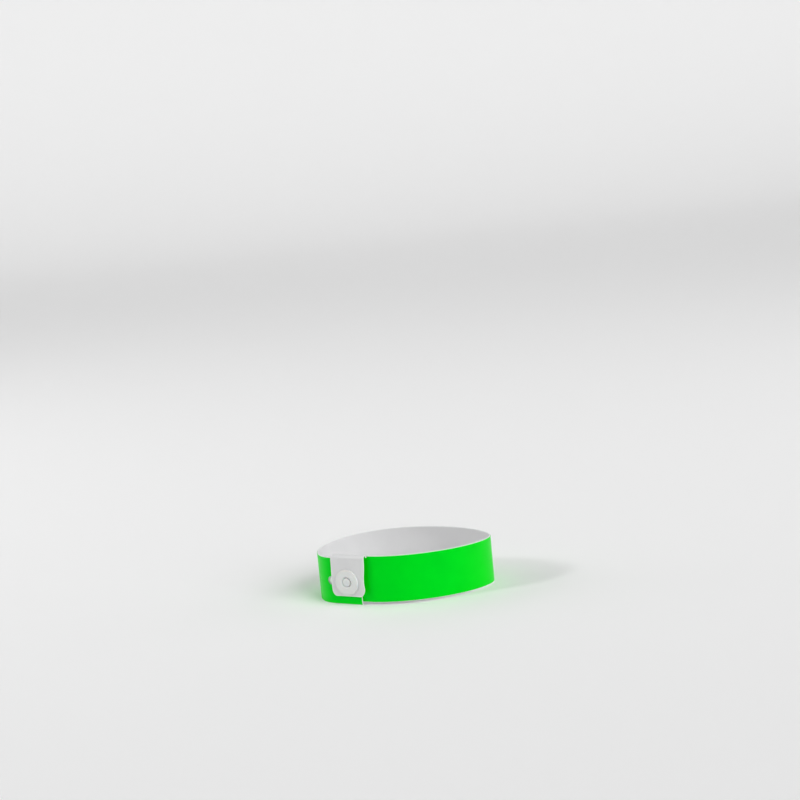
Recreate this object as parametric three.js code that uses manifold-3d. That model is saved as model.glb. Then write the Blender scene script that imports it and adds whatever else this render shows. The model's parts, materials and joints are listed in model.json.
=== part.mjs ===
// A snap-closure event wristband: a laminated vinyl strap closed into an oval loop.
// Three bonded films make the strap: a coloured face, a milky core and a white back.
// One end of the strap carries a moulded stud, and a flap that is cut in one piece with it.
// The punched tail laps over the stud, and the flap folds down over the tail and snaps onto it.
// Units are millimetres. +Z is up, and the loop stands on the strap's lower edge.

import * as THREE from "three";
import { mergeVertices } from "three/addons/utils/BufferGeometryUtils.js";
import Module from "manifold-3d";

const wasm = await Module();
wasm.setup();

// ---------------------------------------------------------------- driving dimensions
const STRAP_WIDTH = 16;
const FACE_THICKNESS = 0.11;
const CORE_THICKNESS = 0.1;
const BACK_THICKNESS = 0.11;
const GLUE_LINE = 0.02;

const LOOP_WIDTH = 58.6; // across the strap's middle surface, side to side
const LOOP_DEPTH = 45.4; // the same, front to back
const LOOP_BULGE = 1.2; // how far the stiff double strap pushes the loop out beside it
const BULGE_LEAD = 10; // degrees round the loop from the closure to the middle of the bulge
const CLOSURE_TURN = 36; // degrees from straight ahead to the way the closure faces
const STRAP_STEP = 2.6; // length of one facet of the strap

const FLAP_LEFT = 5.7; // from the stud to the strap's end, which is the flap's left edge
const FLAP_RIGHT = 7; // from the stud to the flap's right edge
const FLAP_MARGIN = 3.06; // from the flap's free edge down to the tail's lower edge
const FLAP_CORNER = 1.9;
const FOLD_OVER_EDGE = 0.36; // how far the fold stands above the strap's upper edge
const FOLD_GAP = 0.3; // between the two halves of the fold, at its crest
const END_RISE = 0.9; // the stud end of the strap sits this much above the tail
const RISE_RUN = 75; // length of strap over which it comes down again

const HOLE_PITCH = 6.35;
const HOLES_BEFORE_STUD = 1; // unused holes between the loop and the hole on the stud
const TAIL_PAST_STUD = 4.7; // cut with scissors just short of the next hole
const TAIL_LENGTH = 30; // stretch of the tail that lifts off the stud
const TAIL_GAP = 0.3; // between the tail and the rest of the strap
const LAP_RUN = 42; // length over which the tail climbs onto the other end

const STUD_FLANGE_RADIUS = 4.2;
const STUD_FLANGE = 0.7;
const STUD_NECK_RADIUS = 1.7;
const POST_RADIUS = 1.1;
const HEAD_RADIUS = 1.38;
const HEAD_CLEARANCE = 0.12; // around the head, in the tail's holes and the socket's bore
const HEAD_FLARE = 0.2; // height over which the post widens to the head
const HEAD_TAPER = 0.3; // height over which the head narrows to the tip
const TIP_RADIUS = 1.15;
const TIP_RECESS = 0.13; // of the stud's tip below the socket's outer face
const SOCKET_RADIUS = 4.37;
const SOCKET_FLANGE = 0.7;
const SOCKET_WALL = 0.8; // of the socket's neck, around its bore
const COUNTERSINK_RIM = 0.5; // from the bore out to the countersink's edge
const COUNTERSINK_DEPTH = 0.33;
const WASHER_THICKNESS = 0.42;
const STUD_WASHER_RADIUS = 3;
const SOCKET_WASHER_RADIUS = 3.4;

const SEAT = 0.03; // between pieces that bear on each other
const RUNNING = 0.1; // between the tail and the washer on each side of it
const NECK_CLEARANCE = 0.1; // of a film's hole around the neck that fills it
const WASHER_CLEARANCE = 0.05; // of a washer around its neck
const SLIT_WIDTH = 0.4; // of the slit at the flap's corner that lets it fold
const LENGTH_DIVISIONS = 4000; // used to measure along the loop
const ROUND_STEPS = 48; // facets of a snap part
const FOLD_STEPS = 4; // facets of each half of the fold
const CORNER_STEPS = 5;
const EDGE_BEVEL = 0.15;

// ---------------------------------------------------------------- what the stud's head passes through
const HOLE_RADIUS = HEAD_RADIUS + HEAD_CLEARANCE;
const SOCKET_BORE_RADIUS = HEAD_RADIUS + HEAD_CLEARANCE;
const SOCKET_NECK_RADIUS = SOCKET_BORE_RADIUS + SOCKET_WALL;
const COUNTERSINK_RADIUS = SOCKET_BORE_RADIUS + COUNTERSINK_RIM;

// ---------------------------------------------------------------- the laminate
// Each film lies between two offsets from the strap's middle surface, outward positive.
const LAMINATE = FACE_THICKNESS + CORE_THICKNESS + BACK_THICKNESS + 2 * GLUE_LINE;
const HALF = LAMINATE / 2;
const FILMS = [
  { name: "face", inner: HALF - FACE_THICKNESS, outer: HALF },
  {
    name: "core",
    inner: -HALF + BACK_THICKNESS + GLUE_LINE,
    outer: HALF - FACE_THICKNESS - GLUE_LINE,
  },
  { name: "back", inner: -HALF, outer: -HALF + BACK_THICKNESS },
];

// ---------------------------------------------------------------- levels through the closure
// Distances outward from the middle surface of the strap's stud end.
const STUD_WASHER_IN = HALF + SEAT;
const STUD_WASHER_OUT = STUD_WASHER_IN + WASHER_THICKNESS;
const TAIL_LEVEL = STUD_WASHER_OUT + RUNNING + HALF;
const SOCKET_WASHER_IN = TAIL_LEVEL + HALF + RUNNING;
const SOCKET_WASHER_OUT = SOCKET_WASHER_IN + WASHER_THICKNESS;
const FLAP_LEVEL = SOCKET_WASHER_OUT + SEAT + HALF;
const SOCKET_IN = FLAP_LEVEL + HALF + SEAT;
const SOCKET_OUT = SOCKET_IN + SOCKET_FLANGE;
const TIP_LEVEL = SOCKET_OUT - TIP_RECESS;
const STUD_HEIGHT = STRAP_WIDTH / 2; // of the snap's axis above the tail's lower edge
const FOLD_RADIUS = FLAP_LEVEL / 2;
const FOLD_TOP = STRAP_WIDTH + END_RISE + FOLD_OVER_EDGE;
const CREST_ANGLE = Math.PI / 2 - FOLD_GAP / 2 / FOLD_RADIUS; // where the strap's half stops
const CREASE = FOLD_TOP - END_RISE - HALF - FOLD_RADIUS; // where the fold begins on the strap

// ---------------------------------------------------------------- the loop
// An oval with one straight run let into it for the closure. The straight run widens the
// oval by half its own reach on each axis, so the oval starts out smaller by that much.
const FLAT = FLAP_LEFT + FLAP_RIGHT;
const TURN = THREE.MathUtils.degToRad(CLOSURE_TURN);
const REACH_X = (LOOP_WIDTH - (FLAT * Math.cos(TURN)) / 2) / 2;
const REACH_Y = (LOOP_DEPTH - (FLAT * Math.sin(TURN)) / 2) / 2;
const OUTWARD = new THREE.Vector2(-Math.sin(TURN), -Math.cos(TURN));
const ALONG = new THREE.Vector2(Math.cos(TURN), -Math.sin(TURN));
const OUTWARD_ANGLE = Math.atan2(OUTWARD.y, OUTWARD.x);
const BULGE_ANGLE = OUTWARD_ANGLE - THREE.MathUtils.degToRad(BULGE_LEAD);
const LOBES_OF_BULGE = 3; // the bulge comes with two shallower ones, evenly spaced
const STRAIGHT_SHARE = 0.1; // of the curve's own parameter

class WristLoop extends THREE.Curve {
  // The point of the oval whose outward normal has this angle. The oval is given by how far
  // its tangent line stands from its middle, which has the mean reach, two lobes and three.
  ovalPoint(angle) {
    const mean = (REACH_X + REACH_Y) / 2;
    const lobes = (REACH_X - REACH_Y) / 2;
    const bulge = LOBES_OF_BULGE * (angle - BULGE_ANGLE);
    const reach = mean + lobes * Math.cos(2 * angle) + LOOP_BULGE * Math.cos(bulge);
    const slope =
      -2 * lobes * Math.sin(2 * angle) - LOBES_OF_BULGE * LOOP_BULGE * Math.sin(bulge);
    return new THREE.Vector2(
      reach * Math.cos(angle) - slope * Math.sin(angle),
      reach * Math.sin(angle) + slope * Math.cos(angle),
    );
  }
  // t runs from 0 to 1, along the straight run first and then once round the oval.
  getPoint(t, target = new THREE.Vector3()) {
    const run = FLAT * Math.min(t / STRAIGHT_SHARE, 1);
    const turned = 2 * Math.PI * Math.max((t - STRAIGHT_SHARE) / (1 - STRAIGHT_SHARE), 0);
    const closing = FLAT / Math.PI;
    const p = this.ovalPoint(OUTWARD_ANGLE + turned)
      .addScaledVector(ALONG, run - closing * (turned / 2 + Math.sin(2 * turned) / 4))
      .addScaledVector(OUTWARD, (closing * Math.sin(turned) ** 2) / 2);
    return target.set(p.x, p.y, 0);
  }
}
const loop = new WristLoop();
loop.arcLengthDivisions = LENGTH_DIVISIONS;
const LOOP_LENGTH = loop.getLength();

// How far the tail has climbed outward, and how far the stud end has risen.
const lap = (s) => TAIL_LEVEL * THREE.MathUtils.smoothstep(s, LOOP_LENGTH - LAP_RUN, LOOP_LENGTH);
const rise = (s) => END_RISE * (1 - THREE.MathUtils.smoothstep(s, FLAT, FLAT + RISE_RUN));

// The strap at distance s from its stud end: a point, and the ways along, in and up.
function strapFrame(s) {
  const u = (s % LOOP_LENGTH) / LOOP_LENGTH;
  const along = loop.getTangentAt(u);
  const inward = new THREE.Vector3(-along.y, along.x, 0);
  const point = loop.getPointAt(u).addScaledVector(inward, -lap(s));
  return { point: point.setZ(rise(s)), along, inward };
}

// ---------------------------------------------------------------- solids
function solidFrom(geometry) {
  const bare = geometry.clone();
  bare.deleteAttribute("normal");
  bare.deleteAttribute("uv");
  const merged = mergeVertices(bare, 1e-4);
  const mesh = new wasm.Mesh({
    numProp: 3,
    vertProperties: merged.attributes.position.array,
    triVerts: new Uint32Array(merged.index.array),
  });
  return new wasm.Manifold(mesh);
}

function geometryFrom(solid) {
  const mesh = solid.getMesh();
  return new THREE.BufferGeometry()
    .setAttribute("position", new THREE.BufferAttribute(mesh.vertProperties, 3))
    .setIndex(new THREE.BufferAttribute(mesh.triVerts, 1));
}

// Distances from the first mark to the last, with a facet edge at each mark.
function stations(...marks) {
  const list = [marks[0]];
  marks.slice(1).forEach((to, i) => {
    const steps = Math.ceil((to - marks[i]) / STRAP_STEP);
    for (let n = 1; n <= steps; n++) list.push(marks[i] + ((to - marks[i]) * n) / steps);
  });
  return list;
}

// A film laid over a grid of cells. place(column, row, offset) gives each corner's point,
// for the offsets of the film's two surfaces.
function sheet(film, columns, rows, place, hasCell = () => true) {
  const places = [];
  const put = (...corners) => {
    const [a, b, c, d] = corners.map(([i, j, offset]) => place(columns[i], rows[j], offset));
    for (const point of [a, b, c, a, c, d]) places.push(point.x, point.y, point.z);
  };
  const present = (i, j) =>
    i >= 0 && j >= 0 && i < columns.length - 1 && j < rows.length - 1 && hasCell(i, j);
  for (let i = 0; i < columns.length - 1; i++) {
    for (let j = 0; j < rows.length - 1; j++) {
      if (!present(i, j)) continue;
      const ring = [
        [i, j],
        [i + 1, j],
        [i + 1, j + 1],
        [i, j + 1],
      ];
      put(...ring.map((corner) => [...corner, film.outer]));
      put(...ring.map((corner) => [...corner, film.inner]).reverse());
      const beyond = [
        [i, j - 1],
        [i + 1, j],
        [i, j + 1],
        [i - 1, j],
      ];
      beyond.forEach((cell, n) => {
        if (present(...cell)) return;
        const [from, to] = [ring[n], ring[(n + 1) % 4]];
        put([...to, film.outer], [...from, film.outer], [...from, film.inner], [...to, film.inner]);
      });
    }
  }
  const geometry = new THREE.BufferGeometry();
  geometry.setAttribute("position", new THREE.Float32BufferAttribute(places, 3));
  return solidFrom(geometry);
}

// A row of the sheet: its height on the strap, its angle round the fold, and how far the
// sheet's ends draw in there. The angle runs from 0 at the strap's crease, through 90
// degrees at the crest, to 180 at the flap's crease.
const row = (z, angle = 0, inset = 0) => ({ z, angle, inset });

// A point of the wrapped strap. Only a straight run of it is ever folded.
function onLoop(s, { z, angle }, offset) {
  const { point, inward } = strapFrame(s);
  const radius = FOLD_RADIUS - offset;
  point.addScaledVector(inward, radius * Math.cos(angle) - FOLD_RADIUS);
  return point.setZ(point.z + z + radius * Math.sin(angle));
}

// Frame of the closure: X along the strap, Y inward and Z up, from the stud's axis.
const closure = strapFrame(FLAP_LEFT);
const CLOSURE_PLACE = new THREE.Matrix4()
  .makeRotationZ(-TURN)
  .setPosition(closure.point.x, closure.point.y, 0);

// A plug on the snap's axis, to cut a round hole through a film of the closure.
function plug(radius) {
  const body = new THREE.CylinderGeometry(radius, radius, 4 * SOCKET_OUT, ROUND_STEPS);
  return solidFrom(body.translate(0, 0, STUD_HEIGHT).applyMatrix4(CLOSURE_PLACE));
}

// ---------------------------------------------------------------- the films
// Rows of one half of the fold, from one angle to another.
function bends(from, to) {
  const steps = Array.from({ length: FOLD_STEPS + 1 }, (_, n) => n / FOLD_STEPS);
  return steps.map((share) => row(CREASE, from + (to - from) * share));
}

// The strap from its stud end to the tail, with the strap's half of the fold on its first
// column. The second column is the slit that lets the flap fold, and the rest is strap.
function strapFilm(film) {
  const end = LOOP_LENGTH + FLAP_LEFT + TAIL_PAST_STUD - TAIL_LENGTH - TAIL_GAP;
  const columns = [0, ...stations(FLAT, FLAT + SLIT_WIDTH, end)];
  const rows = [row(0), ...bends(0, CREST_ANGLE)];
  const upperEdge = row(STRAP_WIDTH);
  const place = (s, r, offset) => onLoop(s, s > FLAT && r.angle > 0 ? upperEdge : r, offset);
  const hasCell = (i, j) => j === 0 || i === 0 || (i > 1 && j === 1);
  return sheet(film, columns, rows, place, hasCell).subtract(
    plug(STUD_NECK_RADIUS + NECK_CLEARANCE),
  );
}

// The punched tail, with the hole that is on the stud and the unused ones before it.
function tailFilm(film) {
  const end = LOOP_LENGTH + FLAP_LEFT + TAIL_PAST_STUD;
  const columns = [...stations(end - TAIL_LENGTH, LOOP_LENGTH), end];
  let tail = sheet(film, columns, [row(0), row(STRAP_WIDTH)], onLoop);
  for (let n = 0; n <= HOLES_BEFORE_STUD; n++) {
    const { point, along } = strapFrame(LOOP_LENGTH + FLAP_LEFT - n * HOLE_PITCH);
    const reach = 2 * TAIL_LEVEL;
    const punch = new THREE.CylinderGeometry(HOLE_RADIUS, HOLE_RADIUS, reach, ROUND_STEPS / 2);
    punch.rotateZ(Math.atan2(along.y, along.x));
    punch.translate(point.x, point.y, STUD_HEIGHT);
    tail = tail.subtract(solidFrom(punch));
  }
  return tail;
}

// The flap: its half of the fold, then a plate whose two lower corners are rounded.
function flapFilm(film) {
  const bottom = FLAP_MARGIN - END_RISE;
  const corner = Array.from({ length: CORNER_STEPS + 1 }, (_, n) => {
    const angle = (Math.PI / 2) * (n / CORNER_STEPS);
    const z = bottom + FLAP_CORNER * (1 - Math.sin(angle));
    return row(z, Math.PI, FLAP_CORNER * (1 - Math.cos(angle)));
  });
  const rows = [...bends(Math.PI - CREST_ANGLE, Math.PI), ...corner];
  const place = (s, r, offset) => onLoop(s === 0 ? r.inset : s - r.inset, r, offset);
  return sheet(film, [0, FLAT], rows, place).subtract(plug(SOCKET_NECK_RADIUS + NECK_CLEARANCE));
}

// ---------------------------------------------------------------- the snap
// A profile of [radius, distance outward] pairs, turned about the snap's axis.
function turned(profile) {
  const points = profile.map(([radius, out]) => new THREE.Vector2(radius, -out));
  return new THREE.LatheGeometry(points, ROUND_STEPS).translate(0, 0, STUD_HEIGHT);
}

function studGeometry() {
  const flangeOut = -HALF - SEAT;
  const flangeIn = flangeOut - STUD_FLANGE;
  const headIn = SOCKET_WASHER_OUT + HALF;
  return turned([
    [0, TIP_LEVEL],
    [TIP_RADIUS, TIP_LEVEL],
    [HEAD_RADIUS, TIP_LEVEL - HEAD_TAPER],
    [HEAD_RADIUS, headIn],
    [POST_RADIUS, headIn - HEAD_FLARE],
    [POST_RADIUS, STUD_WASHER_OUT],
    [STUD_NECK_RADIUS, STUD_WASHER_OUT],
    [STUD_NECK_RADIUS, flangeOut],
    [STUD_FLANGE_RADIUS, flangeOut],
    [STUD_FLANGE_RADIUS, flangeIn + EDGE_BEVEL],
    [STUD_FLANGE_RADIUS - EDGE_BEVEL, flangeIn],
    [0, flangeIn],
  ]);
}

function ringGeometry(inner, outer, levelIn, levelOut) {
  return turned([
    [inner, levelOut],
    [outer, levelOut],
    [outer, levelIn],
    [inner, levelIn],
    [inner, levelOut],
  ]);
}

function socketGeometry() {
  return turned([
    [COUNTERSINK_RADIUS, SOCKET_OUT],
    [SOCKET_RADIUS - EDGE_BEVEL, SOCKET_OUT],
    [SOCKET_RADIUS, SOCKET_OUT - EDGE_BEVEL],
    [SOCKET_RADIUS, SOCKET_IN],
    [SOCKET_NECK_RADIUS, SOCKET_IN],
    [SOCKET_NECK_RADIUS, SOCKET_WASHER_IN],
    [SOCKET_BORE_RADIUS, SOCKET_WASHER_IN],
    [SOCKET_BORE_RADIUS, SOCKET_OUT - COUNTERSINK_DEPTH],
    [COUNTERSINK_RADIUS, SOCKET_OUT],
  ]);
}

// ---------------------------------------------------------------- assembly
const MATERIALS = {
  face: new THREE.MeshStandardMaterial({ color: 0x00df1c, roughness: 0.38, metalness: 0 }),
  core: new THREE.MeshStandardMaterial({ color: 0xdfe8d8, roughness: 0.5, metalness: 0 }),
  back: new THREE.MeshStandardMaterial({ color: 0xe4e4e6, roughness: 0.55, metalness: 0 }),
  snap: new THREE.MeshStandardMaterial({ color: 0xdcdedb, roughness: 0.42, metalness: 0 }),
};

function piece(name, geometry, material) {
  const mesh = new THREE.Mesh(geometry, material);
  mesh.name = name;
  return mesh;
}

const wristband = new THREE.Group();
const closureGroup = new THREE.Group();
closureGroup.applyMatrix4(CLOSURE_PLACE);
wristband.add(closureGroup);

for (const film of FILMS) {
  const material = MATERIALS[film.name];
  wristband.add(
    piece(`strap_${film.name}_film`, geometryFrom(strapFilm(film)), material),
    piece(`tail_${film.name}_film`, geometryFrom(tailFilm(film)), material),
    piece(`flap_${film.name}_film`, geometryFrom(flapFilm(film)), material),
  );
}
closureGroup.add(
  piece("snap_stud", studGeometry(), MATERIALS.snap),
  piece(
    "stud_washer",
    ringGeometry(
      STUD_NECK_RADIUS + WASHER_CLEARANCE,
      STUD_WASHER_RADIUS,
      STUD_WASHER_IN,
      STUD_WASHER_OUT,
    ),
    MATERIALS.snap,
  ),
  piece("snap_socket", socketGeometry(), MATERIALS.snap),
  piece(
    "socket_washer",
    ringGeometry(
      SOCKET_NECK_RADIUS + WASHER_CLEARANCE,
      SOCKET_WASHER_RADIUS,
      SOCKET_WASHER_IN,
      SOCKET_WASHER_OUT,
    ),
    MATERIALS.snap,
  ),
);

// The origin is the middle of the outline on the surface that the loop stands on.
const extent = new THREE.Box3().setFromObject(wristband, true);
const middle = extent.getCenter(new THREE.Vector3());
const part = new THREE.Group();
part.add(wristband);
wristband.position.set(-middle.x, -middle.y, -extent.min.z);

export default part;
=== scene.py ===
import json
import math

import bmesh
import bpy
import numpy as np
from mathutils import Matrix, Vector


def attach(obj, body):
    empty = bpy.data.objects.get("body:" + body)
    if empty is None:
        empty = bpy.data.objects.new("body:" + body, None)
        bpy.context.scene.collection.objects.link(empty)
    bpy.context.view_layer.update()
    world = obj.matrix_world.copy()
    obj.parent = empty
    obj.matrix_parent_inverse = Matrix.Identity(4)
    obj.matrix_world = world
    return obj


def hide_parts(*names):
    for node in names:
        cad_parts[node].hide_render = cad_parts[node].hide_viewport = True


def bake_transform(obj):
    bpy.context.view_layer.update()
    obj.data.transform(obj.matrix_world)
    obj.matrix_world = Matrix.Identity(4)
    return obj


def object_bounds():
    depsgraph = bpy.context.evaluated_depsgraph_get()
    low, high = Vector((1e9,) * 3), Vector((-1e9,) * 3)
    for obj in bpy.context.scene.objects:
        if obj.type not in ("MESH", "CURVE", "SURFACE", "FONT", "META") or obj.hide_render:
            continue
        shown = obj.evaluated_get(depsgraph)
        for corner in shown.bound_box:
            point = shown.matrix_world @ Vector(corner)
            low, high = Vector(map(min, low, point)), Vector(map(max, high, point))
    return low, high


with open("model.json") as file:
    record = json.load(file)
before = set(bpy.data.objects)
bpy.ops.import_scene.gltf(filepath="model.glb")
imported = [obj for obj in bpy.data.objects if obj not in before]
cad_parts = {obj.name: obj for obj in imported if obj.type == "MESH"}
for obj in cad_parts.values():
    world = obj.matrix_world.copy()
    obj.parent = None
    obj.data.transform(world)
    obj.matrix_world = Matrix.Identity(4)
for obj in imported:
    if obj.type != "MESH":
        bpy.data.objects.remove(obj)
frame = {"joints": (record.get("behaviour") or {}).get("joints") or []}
CAD_BOX = [list(corner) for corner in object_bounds()]

bl_info = {
    "name": "Snap Closure Wristband",
    "version": (1, 0, 0),
    "blender": (4, 5, 0),
    "location": "View3D > Sidebar > Wristband",
    "description": "Makes a laminated vinyl wristband with a moulded snap, closed into a loop",
    "category": "Object",
}

MM = 0.001  # pieces are shaped in millimetres and scaled to metres when they are placed

# The snap's fits, in millimetres.
WASHER = 0.42  # thickness of a washer
SEAT = 0.03  # between pieces that bear on each other
RUNNING = 0.1  # between the tail and a washer
WASHER_CLEARANCE = 0.05  # of a washer round its neck

# The three films of the laminate, from the outside of the strap to the wearer's side.
FILMS = ("face", "core", "back")


# ---------------------------------------------------------------- what a user would change
def length(name, description, default):
    return bpy.props.FloatProperty(
        name=name, description=description, default=default, unit="LENGTH"
    )


def angle(name, description, degrees):
    return bpy.props.FloatProperty(
        name=name, description=description, default=math.radians(degrees), subtype="ANGLE"
    )


def colour(name, description, default):
    return bpy.props.FloatVectorProperty(
        name=name, description=description, default=default, size=3, subtype="COLOR"
    )


def power(name, description, watts):
    return bpy.props.FloatProperty(
        name=name, description=description, default=watts, unit="POWER"
    )


def plain(name, description, default, subtype="NONE"):
    return bpy.props.FloatProperty(
        name=name, description=description, default=default, subtype=subtype
    )


class WristbandSizes(bpy.types.PropertyGroup):
    """Sizes of the strap and the snap, in metres."""

    strap_width: length("Strap Width", "Height of the strap", 0.016)
    face_thickness: length("Face Film", "Thickness of the coloured film", 0.00011)
    core_thickness: length("Core Film", "Thickness of the middle film", 0.0001)
    back_thickness: length("Back Film", "Thickness of the white film", 0.00011)
    glue_line: length("Glue Line", "Gap between two films", 0.00002)
    loop_width: length("Loop Width", "Side to side, at the middle film", 0.0586)
    loop_depth: length("Loop Depth", "Front to back, at the middle film", 0.0454)
    loop_bulge: length("Loop Bulge", "How far the stiff lap pushes the loop out beside it", 0.0012)
    bulge_lead: angle("Bulge Lead", "Turn round the loop from the closure to the bulge", 10)
    flap_left: length("Flap Left", "Stud to the flap's left edge", 0.0057)
    flap_right: length("Flap Right", "Stud to the flap's right edge", 0.007)
    flap_margin: length("Flap Margin", "Tail's lower edge up to the flap's free edge", 0.00306)
    hole_pitch: length("Hole Pitch", "Stud hole to the next hole", 0.00635)
    hole_radius: length("Hole Radius", "Radius of a punched hole", 0.0015)
    tail_past_stud: length("Tail Past Stud", "Length of tail beyond the stud", 0.0047)
    colour_margin: length("Colour Margin", "Coloured film stops this short of the cut", 0.00016)
    socket_radius: length("Socket Radius", "Radius of the snap's outer disc", 0.00437)


class WristbandFinish(bpy.types.PropertyGroup):
    """Colours and gloss of the films and of the snap."""

    face_colour: colour("Face Colour", "Fluorescent pigment of the face film", (0.0, 0.66, 0.001))
    back_colour: colour("Back Colour", "White of the back film", (0.705, 0.705, 0.71))
    core_colour: colour("Core Colour", "Milky core at the cut edges", (0.74, 0.84, 0.74))
    snap_colour: colour("Snap Colour", "Moulded plastic of the snap", (0.74, 0.755, 0.74))
    gloss: plain("Film Roughness", "Roughness of the coloured film", 0.34, "FACTOR")


class WristbandStudio(bpy.types.PropertyGroup):
    """Camera and lights. The suns are in watts per square metre."""

    azimuth: angle("Azimuth", "Camera round the loop", -4.2)
    elevation: angle("Elevation", "Camera above the strap", 13.9)
    roll: angle("Roll", "Camera about its own axis", 5.57)
    distance: length("Distance", "Camera to the middle of the loop", 0.62)
    lens: plain("Lens", "Focal length in millimetres", 80.34)
    aim_side: length("Aim Side", "Aim to the right of the loop", 0.0038)
    aim_rise: length("Aim Rise", "Aim above the loop", 0.0566)
    key_strength: plain("Key Light", "Soft sun from the front right", 2.15)
    side_strength: plain("Side Light", "Harder sun from the left", 0.8)
    left_power: power("Left Light", "Soft light from behind the left side", 2.7)
    right_power: power("Right Light", "Soft light from the right side", 1.6)
    top_power: power("Top Light", "Soft light above", 1.6)
    surround: plain("Surround", "Brightness of the white room", 0.12)


# ---------------------------------------------------------------- the closed loop
def joint_named(name):
    return next(joint for joint in frame["joints"] if joint["name"] == name)


class LoopPath:
    """The strap's middle surface in plan, in millimetres, measured from its stud end."""

    SAMPLES = 6000
    STRAIGHT_SAMPLES = 60
    LAP_RUN = 42.0  # length over which the tail climbs onto the other end
    END_RISE = 0.9  # the stud end sits this much above the tail
    RISE_RUN = 75.0  # length over which it comes down again
    SNAP_GAPS = WASHER + SEAT + RUNNING  # a washer and the clearances on each side of it
    SLIT = 0.4  # width of the slit at the flap's corner
    FOLD_OVER_EDGE = 0.36  # how far the fold stands above the strap's upper edge
    LOBES = 3  # of the bulge, round the loop

    def __init__(self, sizes):
        self.width = sizes.strap_width / MM
        self.left = sizes.flap_left / MM
        self.right = sizes.flap_right / MM
        self.flat = self.left + self.right
        self.half = (
            sizes.face_thickness + sizes.core_thickness + sizes.back_thickness
        ) / MM / 2 + sizes.glue_line / MM
        self.tail_level = 2 * self.half + self.SNAP_GAPS
        self.flap_level = 2 * self.tail_level
        self.fold_radius = self.flap_level / 2
        self.fold_top = self.width + self.END_RISE + self.FOLD_OVER_EDGE
        self.crease = self.fold_top - self.half - self.fold_radius
        fold = joint_named("flap_fold")
        along = -Vector(fold["axis"])
        self.turn = math.atan2(-along.y, along.x)
        self.along = np.array([math.cos(self.turn), -math.sin(self.turn)])
        self.outward = np.array([-math.sin(self.turn), -math.cos(self.turn)])
        crest = np.array(fold["pos_m"][:2]) / MM
        self.stud = crest - self.outward * self.fold_radius
        self.trace(sizes)

    def trace(self, sizes):
        """Samples the straight run of the closure, then the oval round to it again."""
        width, depth = sizes.loop_width / MM, sizes.loop_depth / MM
        reach_x = (width - self.flat * math.cos(self.turn) / 2) / 2
        reach_y = (depth - self.flat * math.sin(self.turn) / 2) / 2
        mean, lobes = (reach_x + reach_y) / 2, (reach_x - reach_y) / 2
        swell = sizes.loop_bulge / MM
        start = math.atan2(self.outward[1], self.outward[0])
        turned = np.linspace(0, 2 * math.pi, self.SAMPLES)
        angle = start + turned
        bulge = self.LOBES * (angle - start + sizes.bulge_lead)
        reach = mean + lobes * np.cos(2 * angle) + swell * np.cos(bulge)
        slope = -2 * lobes * np.sin(2 * angle) - self.LOBES * swell * np.sin(bulge)
        oval = np.stack(
            [
                reach * np.cos(angle) - slope * np.sin(angle),
                reach * np.sin(angle) + slope * np.cos(angle),
            ],
            1,
        )
        closing = self.flat / math.pi
        run = self.flat - closing * (turned / 2 + np.sin(2 * turned) / 4)
        oval += run[:, None] * self.along
        oval += (closing * np.sin(turned) ** 2 / 2)[:, None] * self.outward
        run = np.linspace(0, self.flat, self.STRAIGHT_SAMPLES)[:-1, None]
        straight = oval[-1] + run * self.along
        path = np.concatenate([straight, oval])
        path += self.stud - self.along * self.left - path[0]
        self.path = path
        self.angle = np.concatenate([np.full(len(straight), start), angle])
        self.distance = np.concatenate([[0], np.cumsum(np.hypot(*np.diff(path, axis=0).T))])
        self.length = self.distance[-1]

    @staticmethod
    def smooth(value, low, high):
        """Rises from 0 at low to 1 at high."""
        share = np.clip((value - low) / (high - low), 0, 1)
        return share * share * (3 - 2 * share)

    def place(self, s, offset, z):
        """Points for distances along the strap, offsets outward and heights on the strap."""
        s = np.asarray(s, float)
        past = np.maximum(s - self.length, 0)
        at = np.where(s > self.length, 0, np.where(s < 0, s + self.length, s))
        x = np.interp(at, self.distance, self.path[:, 0]) + past * self.along[0]
        y = np.interp(at, self.distance, self.path[:, 1]) + past * self.along[1]
        angle = np.interp(at, self.distance, self.angle)
        lap = self.tail_level * self.smooth(s, self.length - self.LAP_RUN, self.length)
        rise = self.END_RISE * (1 - self.smooth(s, self.flat, self.flat + self.RISE_RUN))
        out = offset + lap
        return np.stack([x + out * np.cos(angle), y + out * np.sin(angle), z + rise], 1)

    def closure_place(self, u, level, z):
        """Points in the closure's own frame: along from the stud, outward, and up."""
        plan = self.stud + np.outer(u, self.along) + np.outer(level, self.outward)
        return np.column_stack([plan, z])

    def film_span(self, sizes, film):
        """Inner and outer offset of one film from the middle of the laminate."""
        face, core, back = (
            sizes.face_thickness / MM,
            sizes.core_thickness / MM,
            sizes.back_thickness / MM,
        )
        glue = sizes.glue_line / MM
        if film == "face":
            return self.half - face, self.half
        if film == "back":
            return -self.half, -self.half + back
        return -self.half + back + glue, -self.half + back + glue + core


# ---------------------------------------------------------------- cutting and bending a film
def stations(marks, step):
    """Distances through every mark, with steps between them no longer than step."""
    found = [marks[0]]
    for low, high in zip(marks, marks[1:]):
        count = max(1, math.ceil((high - low) / step - 1e-6))
        found += [low + (high - low) * n / count for n in range(1, count + 1)]
    return found


def flat_sheet(columns, rows, keep=lambda u, v: True):
    """A flat grid of faces, in millimetres, with the cells that keep refuses left out."""
    bm = bmesh.new()
    corners = [[bm.verts.new((u, v, 0)) for v in rows] for u in columns]
    for i in range(len(columns) - 1):
        for j in range(len(rows) - 1):
            middle = (columns[i] + columns[i + 1]) / 2, (rows[j] + rows[j + 1]) / 2
            if keep(*middle):
                bm.faces.new(
                    (corners[i][j], corners[i + 1][j], corners[i + 1][j + 1], corners[i][j + 1])
                )
    bmesh.ops.delete(bm, geom=[v for v in bm.verts if not v.link_faces], context="VERTS")
    return bm


PUNCH_RINGS = (0.45, 0.8, 1.0)  # rings of faces, as shares of the way in to the hole


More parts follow.
